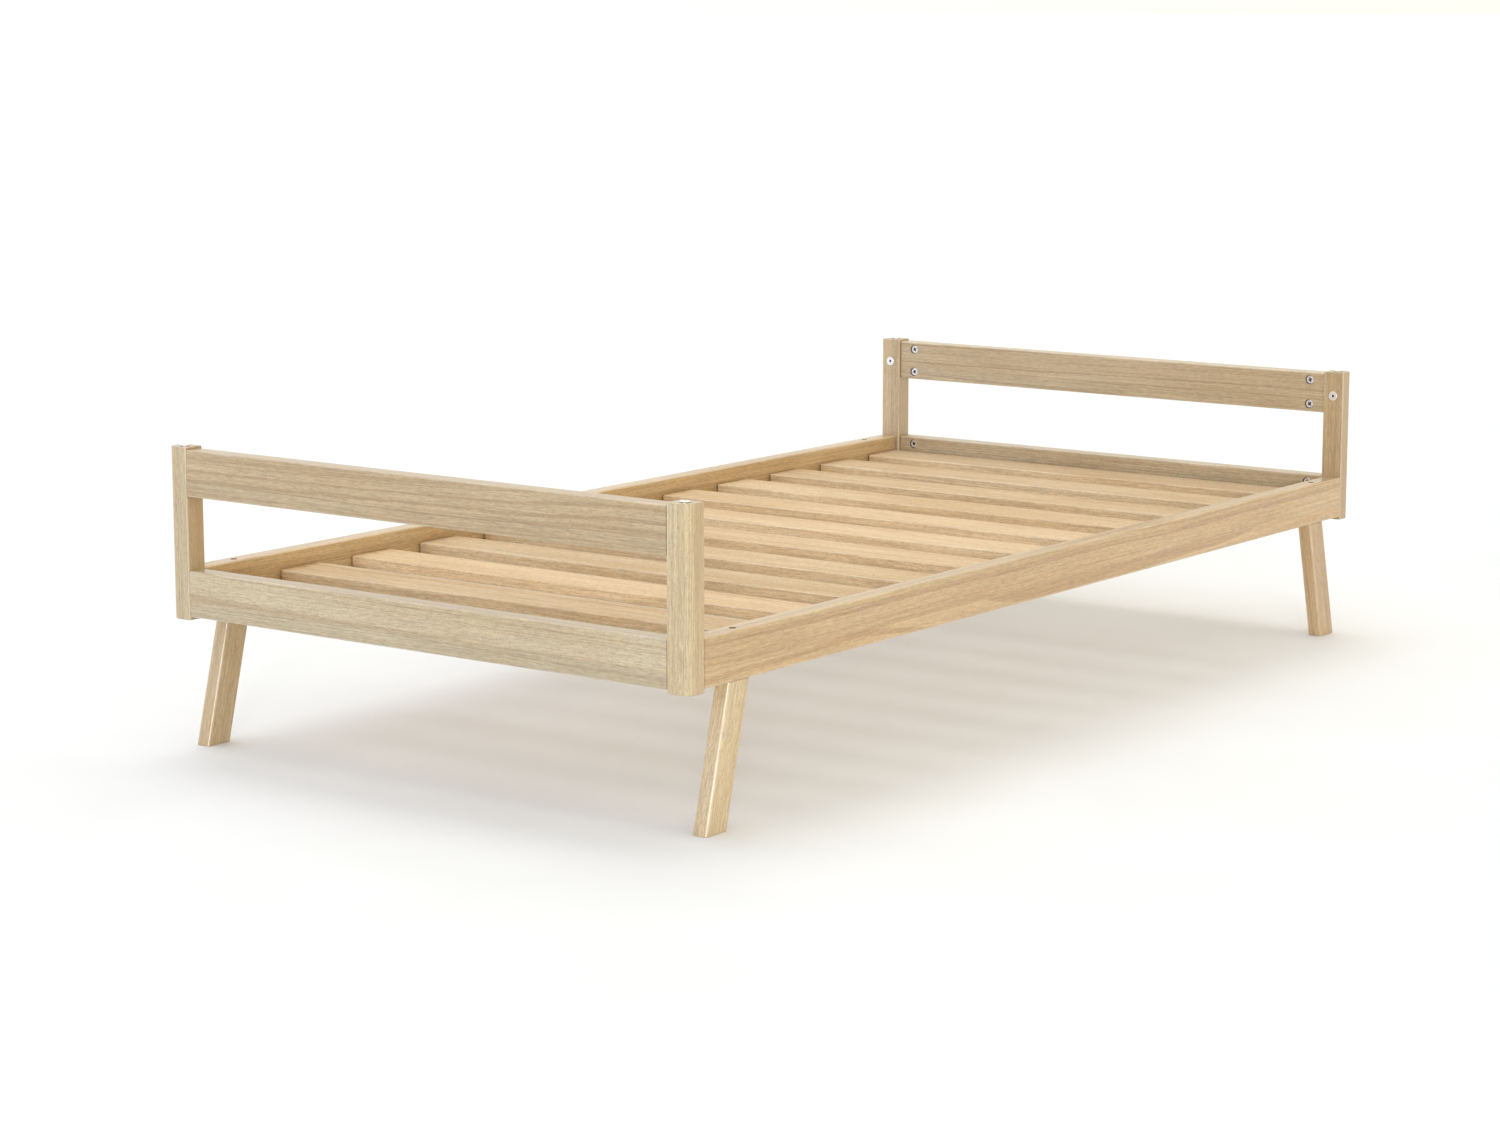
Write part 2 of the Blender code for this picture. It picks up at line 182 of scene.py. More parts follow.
def plane_board(name, node, turn, section, radii, end_ease, steps, place_in_log, tone_and_light,
                lean=0.0, holes=()):
    """A planed board in the place of a frame node: eased arrises, rounded ends, bores.

    Its grain runs along its own Z. Each point keeps its place in the log that the board was
    sawn from, how far it lies on a sawn end, whether it lies in a bore, where it gets painted
    shade, how far it lies on an arris, and the wood's tone, which on two legs also holds
    painted light and shade.
    """
    low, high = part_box(node)
    size = turn.to_3x3().transposed() @ (high - low)
    width, height = section
    length = abs(size.z)
    levels = sorted(
        -length / 2 + end_ease * (1 - math.sin(swing)) for swing in QUARTER_ROUND)
    insets = [end_ease * (1 - math.cos(swing)) for swing in reversed(QUARTER_ROUND)]
    profile = list(zip(levels, insets))
    profile += [(-z, inset) for z, inset in reversed(profile)]
    bm = bmesh.new()
    bridge(bm, [
        [bm.verts.new((u + lean * z / length, v, z))
         for u, v in corner_ring(width, height, radii, steps, inset)]
        for z, inset in profile
    ])
    board = new_piece(name, bm)
    board.matrix_world = Matrix.Translation((low + high) / 2) @ turn
    if holes:
        bore(board, holes)
    smooth_rounds(board)
    mesh = board.data
    mesh.attributes.new("log_place", "FLOAT_VECTOR", "POINT")
    mesh.attributes.new("board_tone_and_light", "FLOAT_VECTOR", "POINT")
    mesh.attributes.new("sawn_end_and_bore_shade", "FLOAT", "POINT")
    mesh.attributes.new("arris", "FLOAT", "POINT")
    log_place, board_tone_and_light, sawn_end_and_bore_shade, arris = (
        mesh.attributes[word].data for word in ("log_place", "board_tone_and_light", "sawn_end_and_bore_shade", "arris"))
    quarters = {(True, True): 0, (False, True): 1, (False, False): 2, (True, False): 3}
    for index, vertex in enumerate(mesh.vertices):
        u, v, z = vertex.co
        u -= lean * z / length
        log_place[index].vector = Vector((u, v, z)) + Vector(place_in_log)
        sawn_end_and_bore_shade[index].value = min(1, max(0, (abs(z) - length / 2 + end_ease) / end_ease))
        radius = radii[quarters[(u >= 0, v >= 0)]]
        past_u = (abs(u) - width / 2 + radius) / radius
        past_v = (abs(v) - height / 2 + radius) / radius
        on_round = past_u > 0 and past_v > 0 and math.hypot(past_u, past_v) > NEARLY_ALL
        if on_round and radius < SMALL_EASE:
            arris[index].value = math.sin(2 * math.atan2(past_v, past_u))
        # Points in a bore get painted shade, far darker than a sawn end.
        if (not on_round and abs(u) < width / 2 - SKIN and abs(v) < height / 2 - SKIN
                and abs(z) < length / 2 - end_ease - SKIN):
            sawn_end_and_bore_shade[index].value = BORE_SHADE
        board_tone_and_light[index].vector = tone_and_light
    return board


def new_group(name, inputs, outputs):
    """An empty shader node group with named sockets, and its own input and output nodes."""
    group = bpy.data.node_groups.new(name, "ShaderNodeTree")
    for socket_name, kind, value in inputs:
        socket = group.interface.new_socket(socket_name, in_out="INPUT", socket_type=kind)
        if value is not None:
            socket.default_value = value
    for socket_name, kind in outputs:
        group.interface.new_socket(socket_name, in_out="OUTPUT", socket_type=kind)
    return group, group.nodes.new("NodeGroupInput"), group.nodes.new("NodeGroupOutput")


def feed(tree, socket, source):
    """Sets a socket to a value, or links another node's result into it."""
    if isinstance(source, bpy.types.NodeSocket):
        tree.links.new(source, socket)
    elif source is not None:
        socket.default_value = source


def number(tree, operation, *sources):
    """The result of one sum on plain numbers."""
    node = tree.nodes.new("ShaderNodeMath")
    node.operation = operation
    for socket, source in zip(node.inputs, sources):
        feed(tree, socket, source)
    return node.outputs[0]


def arrow(tree, operation, *sources):
    """The result of one sum on places or directions."""
    node = tree.nodes.new("ShaderNodeVectorMath")
    node.operation = operation
    for socket, source in zip(node.inputs, sources):
        feed(tree, socket, source)
    return node.outputs["Value" if operation == "LENGTH" else "Vector"]


def stretched(tree, place, across, along):
    """A place squeezed so that a pattern on it is drawn out along the grain."""
    return arrow(tree, "MULTIPLY", place, (across, across, along))


def ease_between(tree, value, low, high, at_low=0.0, at_high=1.0):
    """A smooth passage of a value from one range to another."""
    node = tree.nodes.new("ShaderNodeMapRange")
    node.interpolation_type = "SMOOTHSTEP"
    for socket, source in zip(node.inputs, (value, low, high, at_low, at_high)):
        feed(tree, socket, source)
    return node.outputs[0]


def mottle(tree, place, detail, roughness=0.5, result="Fac", along_line=False):
    """A random cloud over space, or along a line."""
    node = tree.nodes.new("ShaderNodeTexNoise")
    node.noise_dimensions = "1D" if along_line else "3D"
    feed(tree, node.inputs["W" if along_line else "Vector"], place)
    for socket, value in (("Scale", 1.0), ("Detail", detail), ("Roughness", roughness)):
        node.inputs[socket].default_value = value
    return node.outputs[result]


def tinted(tree, way, amount, under, over):
    """One colour laid over another."""
    node = tree.nodes.new("ShaderNodeMix")
    node.data_type = "RGBA"
    node.blend_type = way
    feed(tree, node.inputs["Factor"], amount)
    feed(tree, node.inputs[6], (*under, 1) if isinstance(under, tuple) else under)
    feed(tree, node.inputs[7], (*over, 1) if isinstance(over, tuple) else over)
    return node.outputs[2]


def parts_of(tree, source, colour=False):
    """The three parts of a place or a colour."""
    node = tree.nodes.new("ShaderNodeSeparateColor" if colour else "ShaderNodeSeparateXYZ")
    feed(tree, node.inputs[0], source)
    return node.outputs[0], node.outputs[1], node.outputs[2]


def beech_grain_group():
    """Growth rings, fibre, dark ray flecks and glued staves of straight-grained beech."""
    group, given, made = new_group(
        "Beech Grain",
        (
            ("Log Place", "NodeSocketVector", None),
            ("Stave Width", "NodeSocketFloat", 0.02),
            ("Ring Width", "NodeSocketFloat", 0.0034),
        ),
        (
            ("Rings", "NodeSocketFloat"),
            ("Fibre", "NodeSocketFloat"),
            ("Flecks", "NodeSocketFloat"),
            ("Cloud", "NodeSocketFloat"),
            ("Stave Tone", "NodeSocketFloat"),
            ("Seam", "NodeSocketFloat"),
        ),
    )
    place = given.outputs["Log Place"]
    across, wide, along = parts_of(group, place)
    stave_place = number(group, "DIVIDE", wide, given.outputs["Stave Width"])
    stave = number(group, "FLOOR", stave_place)
    chance = group.nodes.new("ShaderNodeTexWhiteNoise")
    chance.noise_dimensions = "1D"
    feed(group, chance.inputs["W"], number(group, "ADD", stave, 0.37))
    first, second, third = parts_of(group, chance.outputs["Color"], colour=True)
    from_middle = number(group, "ABSOLUTE", number(
        group, "SUBTRACT", number(group, "FRACT", stave_place), 0.5))
    to_seam = number(group, "MULTIPLY", number(
        group, "SUBTRACT", 0.5, from_middle), given.outputs["Stave Width"])
    seam = ease_between(group, to_seam, 0.0001, 0.0007, 1.0, 0.0)

    # Each stave is its own piece of the log, with the log's heart on its own side.
    draw = arrow(group, "SUBTRACT", chance.outputs["Color"], (0.5, 0.5, 0.5))
    spot = arrow(group, "ADD", place, arrow(group, "MULTIPLY", draw, (0.5, 0.5, 9.0)))
    bearing = number(group, "MULTIPLY", first, 2 * math.pi)
    reach = number(group, "ADD", number(group, "MULTIPLY", second, 0.16), 0.10)
    heart = group.nodes.new("ShaderNodeCombineXYZ")
    feed(group, heart.inputs[0], number(
        group, "MULTIPLY", number(group, "COSINE", bearing), reach))
    feed(group, heart.inputs[1], number(
        group, "MULTIPLY", number(group, "SINE", bearing), reach))
    # The rings sway a little along the log and run out of the board at a slight slant.
    sway = mottle(group, stretched(group, spot, 6.0, 1.1), 1.5, result="Color")
    sway = arrow(group, "MULTIPLY", arrow(group, "SUBTRACT", sway, (0.5, 0.5, 0.5)),
                 (0.030, 0.030, 0.0))
    run_out = number(group, "MULTIPLY", number(group, "SUBTRACT", third, 0.5), 0.030)
    drift = group.nodes.new("ShaderNodeCombineXYZ")
    feed(group, drift.inputs[0], number(group, "MULTIPLY", along, run_out))
    feed(group, drift.inputs[1], number(group, "MULTIPLY", along, run_out))
    flat_place = group.nodes.new("ShaderNodeCombineXYZ")
    feed(group, flat_place.inputs[0], across)
    feed(group, flat_place.inputs[1], number(
        group, "MULTIPLY", number(group, "FRACT", stave_place),
        given.outputs["Stave Width"]))
    from_heart = arrow(group, "ADD", flat_place.outputs[0], heart.outputs[0])
    from_heart = arrow(group, "ADD", arrow(group, "ADD", from_heart, sway), drift.outputs[0])
    turns = number(group, "DIVIDE", arrow(group, "LENGTH", from_heart),
                   given.outputs["Ring Width"])
    turns = number(group, "ADD", turns, number(group, "MULTIPLY", stave, 17.3))
    years = mottle(group, turns, 2.5, 0.65, along_line=True)
    spells = mottle(group, number(group, "MULTIPLY", turns, 0.17), 1.0, along_line=True)
    rings = number(group, "ADD", number(group, "MULTIPLY", years, 0.62),
                   number(group, "MULTIPLY", spells, 0.38))
    # Long soft streaks, short hard ones, and the small dark flecks of cut rays.
    fibre = number(
        group, "ADD",
        number(group, "MULTIPLY", mottle(group, stretched(group, spot, 520.0, 8.0), 2.5, 0.6),
               0.42),
        number(group, "MULTIPLY", mottle(group, stretched(group, spot, 760.0, 60.0), 2.5, 0.65),
               0.58),
    )
    cells = group.nodes.new("ShaderNodeTexVoronoi")
    cells.inputs["Scale"].default_value = 1.0
    feed(group, cells.inputs["Vector"], stretched(group, spot, 700.0, 150.0))
    kept, _, _ = parts_of(group, cells.outputs["Color"], colour=True)
    flecks = number(
        group, "MULTIPLY",
        ease_between(group, cells.outputs["Distance"], 0.18, 0.50, 1.0, 0.0),
        ease_between(group, kept, 0.55, 0.62),
    )
    cloud = mottle(group, stretched(group, spot, 14.0, 2.2), 3.0, 0.55)
    feed(group, made.inputs["Rings"], ease_between(group, rings, 0.50, 0.585))
    feed(group, made.inputs["Fibre"], fibre)
    feed(group, made.inputs["Flecks"], flecks)
    feed(group, made.inputs["Cloud"], cloud)
    feed(group, made.inputs["Stave Tone"], second)
    feed(group, made.inputs["Seam"], seam)
    return group


def rubbed_and_highlit_arris_group():
    """Paler arrises, partly where lacquer is thin and partly a painted highlight, broken up as
    hands and cloths rub it.
    """
    group, given, made = new_group(
        "Rubbed And Highlit Arris",
        (("Log Place", "NodeSocketVector", None), ("Arris", "NodeSocketFloat", 0.0)),
        (("Rub And Highlight", "NodeSocketFloat"),),
    )
    patches = mottle(group, stretched(group, given.outputs["Log Place"], 60.0, 14.0), 4.0, 0.6)
    rub_and_highlight = number(group, "MULTIPLY", given.outputs["Arris"],
                 ease_between(group, patches, 0.38, 0.66, 0.35, 1.0))
    feed(group, made.inputs["Rub And Highlight"], rub_and_highlight)
    return group


beech_grain = beech_grain_group()
rubbed_and_highlit_arris = rubbed_and_highlit_arris_group()


def from_mesh(tree, name, vector=False):
    """What the board's points say of their place in the log, sawn end and painted bore shade,
    arris, or tone and painted light.
    """
    node = tree.nodes.new("ShaderNodeAttribute")
    node.attribute_name = name
    return node.outputs["Vector" if vector else "Fac"]


def placed(tree, group, **sources):
    """A node group set in a material with its own values."""
    node = tree.nodes.new("ShaderNodeGroup")
    node.node_tree = group
    for socket_name, source in sources.items():
        feed(tree, node.inputs[socket_name.replace("_", " ")], source)
    return node


def beech(name, stave_width, roughness, ring_depth, lacquer=True):
    """Beech for a kind of board: its staves, its sheen, how dark its rings are, its lacquer."""
    material = bpy.data.materials.new(name)
    material.use_nodes = True
    tree = material.node_tree
    shader = tree.nodes["Principled BSDF"]
    log_place = from_mesh(tree, "log_place", vector=True)
    grain = placed(tree, beech_grain, Log_Place=log_place, Stave_Width=stave_width).outputs
    rub_and_highlight = placed(tree, rubbed_and_highlit_arris, Log_Place=log_place,
                 Arris=from_mesh(tree, "arris")).outputs[0]
    colour = tinted(tree, "MIX", ease_between(tree, grain["Cloud"], 0.32, 0.70), BEECH_PALE,
                    BEECH_WARM)
    colour = tinted(tree, "MIX", number(tree, "MULTIPLY", grain["Rings"], ring_depth), colour,
                    BEECH_RING)
    colour = tinted(tree, "MULTIPLY", 1.0, colour,
                    ease_between(tree, grain["Fibre"], 0.36, 0.64, 0.78, 1.16))
    colour = tinted(tree, "MULTIPLY", 1.0, colour, from_mesh(tree, "board_tone_and_light", vector=True))
    colour = tinted(tree, "MULTIPLY", 1.0, colour,
                    ease_between(tree, grain["Stave Tone"], 0.0, 1.0, 0.90, 1.06))
    colour = tinted(tree, "MIX", number(tree, "MULTIPLY", grain["Flecks"], 0.38), colour,
                    BEECH_FLECK)
    colour = tinted(tree, "MIX", number(tree, "MULTIPLY", grain["Seam"], 0.35), colour,
                    BEECH_RING)
    # Sawn ends darken as end grain; bore walls darken much more, mostly as painted shade.
    colour = tinted(tree, "MULTIPLY", number(
        tree, "MULTIPLY", from_mesh(tree, "sawn_end_and_bore_shade"), END_GRAIN_AND_BORE_SHADE_SHARE), colour, END_GRAIN_AND_BORE_SHADE)
    # Arrises turn paler: partly rubbed lacquer, partly a painted highlight.
    colour = tinted(tree, "MIX", number(tree, "MULTIPLY", rub_and_highlight, WORN_AND_HIGHLIGHT_SHARE), colour,
                    WORN_ARRIS_AND_HIGHLIGHT)
    feed(tree, shader.inputs["Base Color"], colour)
    rough = ease_between(tree, grain["Fibre"], 0.25, 0.75, roughness + 0.07,
                         roughness - 0.05)
    rough = number(tree, "ADD", rough, number(tree, "MULTIPLY", grain["Flecks"], 0.12))
    feed(tree, shader.inputs["Roughness"],
         number(tree, "SUBTRACT", rough, number(tree, "MULTIPLY", rub_and_highlight, 0.08)))
    shader.inputs["Specular IOR Level"].default_value = 0.5 if lacquer else 0.3
    if lacquer:
        shader.inputs["Coat Weight"].default_value = LACQUER_WEIGHT
        shader.inputs["Coat Roughness"].default_value = LACQUER_ROUGHNESS
    height = number(tree, "SUBTRACT", grain["Fibre"],
                    number(tree, "MULTIPLY", grain["Flecks"], 0.8))
    height = number(tree, "SUBTRACT", height, number(tree, "MULTIPLY", grain["Seam"], 1.2))
    height = number(tree, "SUBTRACT", height, number(tree, "MULTIPLY", grain["Rings"], 0.3))
    relief = tree.nodes.new("ShaderNodeBump")
    relief.inputs["Strength"].default_value = 0.35 if lacquer else 0.6
    relief.inputs["Distance"].default_value = FIBRE_RELIEF
    feed(tree, relief.inputs["Height"], height)
    feed(tree, shader.inputs["Normal"], relief.outputs[0])
    return material


def show_for(piece, material, slot_name, *nodes):
    """Gives a piece its finish, and sets it on the frame in place of its nodes."""
    piece.data.materials.clear()
    piece.data.materials.append(material)
    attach(piece, "root")
    if nodes:
        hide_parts(*nodes)


log_chance = random.Random(51)


def log_spot(stave_width, seam_at):
    """A place in the log for a board, with a glued seam this far from its middle."""
    staves_over = log_chance.randrange(20, 400)
    return (log_chance.uniform(-0.03, 0.03), staves_over * stave_width - seam_at,
            log_chance.uniform(2.0, 9.0))


post_beech = beech("lacquered_beech_posts", POST_STAVE, LACQUERED, 0.26)
POST_TONES = {
    "foot_right": (0.96, 1.035, 1.09), "foot_left": (0.80, 0.845, 0.88),
    "head_right": (0.79, 0.775, 0.73), "head_left": (0.84, 0.855, 0.88),
}
for end, end_sign in ENDS:
    for side, side_sign in SIDES:
        node = f"post_{end}_{side}"
        low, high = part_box(node)
        outer = [corner == (end_sign, side_sign)
                 for corner in ((1, 1), (-1, 1), (-1, -1), (1, -1))]
        middle = (low + high) / 2
        top_point = (middle.x, middle.y, high.z)
        inner_x = low.x if end_sign > 0 else high.x
        face_point = (inner_x, middle.y, high.z - FACE_BOLT_DROP)
        shank_hole = ((SHANK_HOLE_RADIUS, SHANK_HOLE_DEPTH),)
        post = plane_board(
            f"{end}_{side}_post", node, STANDING, (high.x - low.x, high.y - low.y),
            [POST_ROUND if is_outer else POST_EASE for is_outer in outer], POST_END_EASE,
            [ROUND_STEPS if is_outer else ARRIS_STEPS for is_outer in outer],
            log_spot(POST_STAVE, 0.0),
            POST_TONES[f"{end}_{side}"],
            holes=((top_point, (0, 0, -1), shank_hole),
                   (face_point, (end_sign, 0, 0), shank_hole)),
        )
        show_for(post, post_beech, "post_wood", node)

# ------------------------------------------------------------------ connector bolts
# Eight bright nickel-plated connector bolts, two in each post: one down into its top and one
# level through its inner face. Each has a broad flat head, rounded at its rim, and a hexagon
# socket. They are turned parts that a hexagon key draws tight on the wood.
TURNED_SIDES = 64
BOLT_HEAD = (0.0085, 0.0007, 0.0015)
BOLT_SHANK = (0.0045, 0.0278)
SOCKET_RADIUS = 0.0026
SOCKET_DEEP = 0.0040
SOCKET_FLARE = 0.0003
RECESS_OVERCUT = 0.003
NICKEL_BRIGHT = (0.94, 0.935, 0.925)
NICKEL_DULL = (0.80, 0.79, 0.775)
# The colour of the painted shade laid into driver recesses.
RECESS_PAINTED_SHADE = (0.16, 0.16, 0.17)
key_chance = random.Random(17)


def turned(name, profile, sides=TURNED_SIDES):
    """A turned part about its own Z, from (radius, height) pairs up to its head."""
    bm = bmesh.new()
    spin(bm, profile, STANDING, sides)
    return new_piece(name, bm)


def rounded_rim(radius, rim, top=0.0):
    """The last points of a turned head, from its side over a rounded rim to its face."""
    return [(radius - rim * (1 - math.cos(swing)), top - rim * (1 - math.sin(swing)))
            for swing in QUARTER_ROUND]


def sink(piece, outline, top, deep, flare):
    """Sinks a recess of this outline into a head, flared at its mouth."""
    bm = bmesh.new()
    rings = []
    for level, grow in ((top - deep, 0.0), (top - flare, 0.0), (top, flare),
                        (top + RECESS_OVERCUT, flare)):
        rings.append([
            bm.verts.new((u + grow * u / math.hypot(u, v), v + grow * v / math.hypot(u, v),
                          level))
            for u, v in outline
        ])
    bridge(bm, rings)
    cut_away(piece, new_piece(piece.name + "_recess", bm))


def taken_off(piece):
    """Keeps a finished mesh as the pattern for like pieces, and drops its object."""
    pattern = piece.data
    bpy.data.objects.remove(piece, do_unlink=True)
    return pattern


def seat_on(pattern, name, node, direction, turn_angle):
    """A piece of this pattern, its head on the outer side of a frame node."""
    low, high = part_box(node)
    out = Vector(direction)
    face = (low + high) / 2 + out * abs((high - low).dot(out)) / 2
    return seat_at(pattern, name, face, out, turn_angle)


def seat_at(pattern, name, point, direction, turn_angle):
    """A piece of this pattern with its head at a point, facing a direction."""
    piece = bpy.data.objects.new(name, pattern)
    scene.collection.objects.link(piece)
    piece.matrix_world = aim(point, direction) @ Matrix.Rotation(turn_angle, 4, "Z")
    smooth_rounds(piece)
    return piece


def turned_metal_group():
    """Turning rings, dull patches, hair scratches and painted shade in recesses on plated
    metal.
    """
    group, given, made = new_group(
        "Turned Metal",
        (("Place", "NodeSocketVector", None), ("Ring Pitch", "NodeSocketFloat", 0.0003)),
        (
            ("Turning", "NodeSocketFloat"),
            ("Dulling", "NodeSocketFloat"),
            ("Scratches", "NodeSocketFloat"),
            ("Recess", "NodeSocketFloat"),
        ),
    )
    place = given.outputs["Place"]
    from_axis = arrow(group, "LENGTH", arrow(group, "MULTIPLY", place, (1.0, 1.0, 0.0)))
    turning = mottle(group, number(group, "DIVIDE", from_axis, given.outputs["Ring Pitch"]),
                     2.0, along_line=True)
    _, _, level = parts_of(group, place)
    recess = number(group, "MULTIPLY", ease_between(group, level, -0.0014, -0.0002, 1.0, 0.0),
                    ease_between(group, from_axis, 0.0040, 0.0044, 1.0, 0.0))
    dulling = mottle(group, arrow(group, "MULTIPLY", place, (260.0, 260.0, 260.0)), 4.0, 0.6)
    scratches = ease_between(group, mottle(
        group, arrow(group, "MULTIPLY", place, (2600.0, 300.0, 900.0)), 2.0), 0.62, 0.74)
    feed(group, made.inputs["Turning"], turning)
    feed(group, made.inputs["Dulling"], dulling)
    feed(group, made.inputs["Scratches"], scratches)
    feed(group, made.inputs["Recess"], recess)
    return group


turned_metal = turned_metal_group()


def plated(name, bright, dull, sheen, relief_depth=0.00003):
    """Plated metal in its two tones, duller in patches and finely turned."""
    material = bpy.data.materials.new(name)
    material.use_nodes = True
    tree = material.node_tree
    shader = tree.nodes["Principled BSDF"]
    place = tree.nodes.new("ShaderNodeTexCoord").outputs["Object"]
    marks = placed(tree, turned_metal, Place=place).outputs
    patches = ease_between(tree, marks["Dulling"], 0.40, 0.66)
    colour = tinted(tree, "MIX", patches, bright, dull)
    colour = tinted(tree, "MIX", number(tree, "MULTIPLY", marks["Scratches"], 0.3), colour,
                    dull)
    # Recesses are darkened with painted shade.
    feed(tree, shader.inputs["Base Color"],
         tinted(tree, "MULTIPLY", marks["Recess"], colour, RECESS_PAINTED_SHADE))
    rough = number(tree, "ADD", number(tree, "MULTIPLY", patches, 0.12), sheen)
    feed(tree, shader.inputs["Roughness"], number(
        tree, "ADD", rough, number(tree, "MULTIPLY", marks["Turning"], 0.08)))
    shader.inputs["Metallic"].default_value = 1.0
    relief = tree.nodes.new("ShaderNodeBump")
    relief.inputs["Strength"].default_value = 0.4
    relief.inputs["Distance"].default_value = relief_depth
    feed(tree, relief.inputs["Height"], number(
        tree, "SUBTRACT", marks["Turning"], marks["Scratches"]))
    feed(tree, shader.inputs["Normal"], relief.outputs[0])
    return material


nickel = plated("bright_nickel", NICKEL_BRIGHT, NICKEL_DULL, 0.28)
head_radius, head_rim, head_height = BOLT_HEAD
shank_radius, shank_length = BOLT_SHANK
hexagon = [(SOCKET_RADIUS * math.cos(math.pi * step / 3),
            SOCKET_RADIUS * math.sin(math.pi * step / 3)) for step in range(6)]
bolt_pattern = turned("connector_bolt", [
    (shank_radius - 0.0006, -shank_length), (shank_radius, -shank_length + 0.0006),
    (shank_radius, -head_height), (head_radius - 0.0002, -head_height),
    *rounded_rim(head_radius, head_rim),
])
sink(bolt_pattern, hexagon, 0.0, SOCKET_DEEP, SOCKET_FLARE)
bolt_pattern = taken_off(bolt_pattern)
for end, end_sign in ENDS:
    for side, _ in SIDES:
        for place, direction in (("top", (0, 0, 1)), ("face", (-end_sign, 0, 0))):
            node = f"{place}_bolt_{end}_{side}"
            bolt = seat_on(bolt_pattern, f"{end}_{side}_post_{place}_bolt", node, direction,
                           key_chance.uniform(0, math.pi))
            show_for(bolt, nickel, "bolt_metal", node)

# ------------------------------------------------------------------ end rails
# Two level rails between the posts at each end of the bed. Each is glued up from staves of
# beech, eased on its long arrises, and bored on its inner face near each end for two cam
# fittings that grip the bolts in the posts.
RAIL_EASE = 0.003
RAIL_END_EASE = 0.0012
END_RAIL_STAVE = 0.048
END_RAIL_SEAM = -0.012
ACROSS_BED = Matrix(((1, 0, 0, 0), (0, 0, -1, 0), (0, 1, 0, 0), (0, 0, 0, 1)))
CAM_SINK = 0.0025
CAM_BORE = ((0.0085, 0.0), (0.0081, 0.0004), (0.0081, 0.0153))
HEIGHTS = ("lower", "upper")
END_RAIL_TONES = {
    "foot_top": (0.818, 0.84, 0.857), "foot_bottom": (0.84, 0.93, 1.03),
    "head_top": (0.83, 0.873, 0.936), "head_bottom": (0.857, 0.90, 0.958),
}

end_rail_beech = beech("lacquered_beech_end_rails", END_RAIL_STAVE, LACQUERED, 0.56)


def cam_mouth(node, out):
    """Where the bore of a cam fitting opens in the face of its rail."""
    low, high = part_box(node)
    out = Vector(out)
    return (low + high) / 2 + out * (abs((high - low).dot(out)) / 2 + CAM_SINK)


for end, end_sign in ENDS:
    for level in ("bottom", "top"):
        node = f"end_rail_{end}_{level}"
        low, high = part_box(node)
        cam_bores = [
            (cam_mouth(f"cam_{end}_{level}_{side}_{height}", (-end_sign, 0, 0)),
             (end_sign, 0, 0), CAM_BORE)
            for side, _ in SIDES for height in HEIGHTS
        ]
        rail = plane_board(
            f"{end}_end_{level}_rail", node, ACROSS_BED, (high.x - low.x, high.z - low.z),
            [RAIL_EASE] * 4, RAIL_END_EASE, [ARRIS_STEPS] * 4,
            log_spot(END_RAIL_STAVE, END_RAIL_SEAM), END_RAIL_TONES[f"{end}_{level}"],
            holes=cam_bores,
        )
        show_for(rail, end_rail_beech, "end_rail_wood", node)

# ------------------------------------------------------------------ side rails
# Two long rails that join the end frames, of the same lacquered beech. Each is bored down
# from its top over each leg, with a wide mouth that hides the head of the leg's bolt, and
# on its inner face for a cam fitting at each end and for the screws that hold its ledger.
SIDE_RAIL_STAVE = 0.055
SIDE_RAIL_SEAM = -0.014
ALONG_BED = Matrix(((0, 0, 1, 0), (1, 0, 0, 0), (0, 1, 0, 0), (0, 0, 0, 1)))
LEG_BOLT_MOUTH = ((0.0058, 0.0), (0.0053, 0.0005), (0.0053, 0.0263), (0.0033, 0.0263),
                  (0.0033, 0.080))
LEDGER_SCREWS = 7
LEDGER_SCREW_SPREAD = 1.74
SCREW_PILOT = 0.0021
LEDGER_SCREW_BITE = 0.0145

SIDE_RAIL_TONES = {"right": (0.89, 0.827, 0.74), "left": (0.93, 0.88, 0.81)}

side_rail_beech = beech("lacquered_beech_side_rails", SIDE_RAIL_STAVE, LACQUERED, 0.60)


def ledger_screw_spots(side, side_sign):
    """Where the ledger's screws enter, on the face that looks into the bed."""
    low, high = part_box(f"ledger_{side}")
    face_y = low.y if side_sign > 0 else high.y
    return [
        Vector((LEDGER_SCREW_SPREAD * (count / (LEDGER_SCREWS - 1) - 0.5), face_y,
                (low.z + high.z) / 2))
        for count in range(LEDGER_SCREWS)
    ]


for side, side_sign in SIDES:
    node = f"side_rail_{side}"
    low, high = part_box(node)
    inner_y = low.y if side_sign > 0 else high.y
    outward = (0, side_sign, 0)
    holes = []
    for end, _ in ENDS:
        holes.append((cam_mouth(f"cam_side_{side}_{end}", (0, -side_sign, 0)), outward,
                      CAM_BORE))
        bolt_low, bolt_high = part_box(f"leg_bolt_{end}_{side}")
        bolt_middle = (bolt_low + bolt_high) / 2
        holes.append(((bolt_middle.x, bolt_middle.y, high.z), (0, 0, -1), LEG_BOLT_MOUTH))
    for spot in ledger_screw_spots(side, side_sign):
        holes.append(((spot.x, inner_y, spot.z), outward, ((SCREW_PILOT, LEDGER_SCREW_BITE),)))
    rail = plane_board(
        f"{side}_side_rail", node, ALONG_BED, (high.y - low.y, high.z - low.z),
        [RAIL_EASE] * 4, RAIL_END_EASE, [ARRIS_STEPS] * 4,
        log_spot(SIDE_RAIL_STAVE, SIDE_RAIL_SEAM), SIDE_RAIL_TONES[side], holes=holes,
    )
    show_for(rail, side_rail_beech, "side_rail_wood", node)

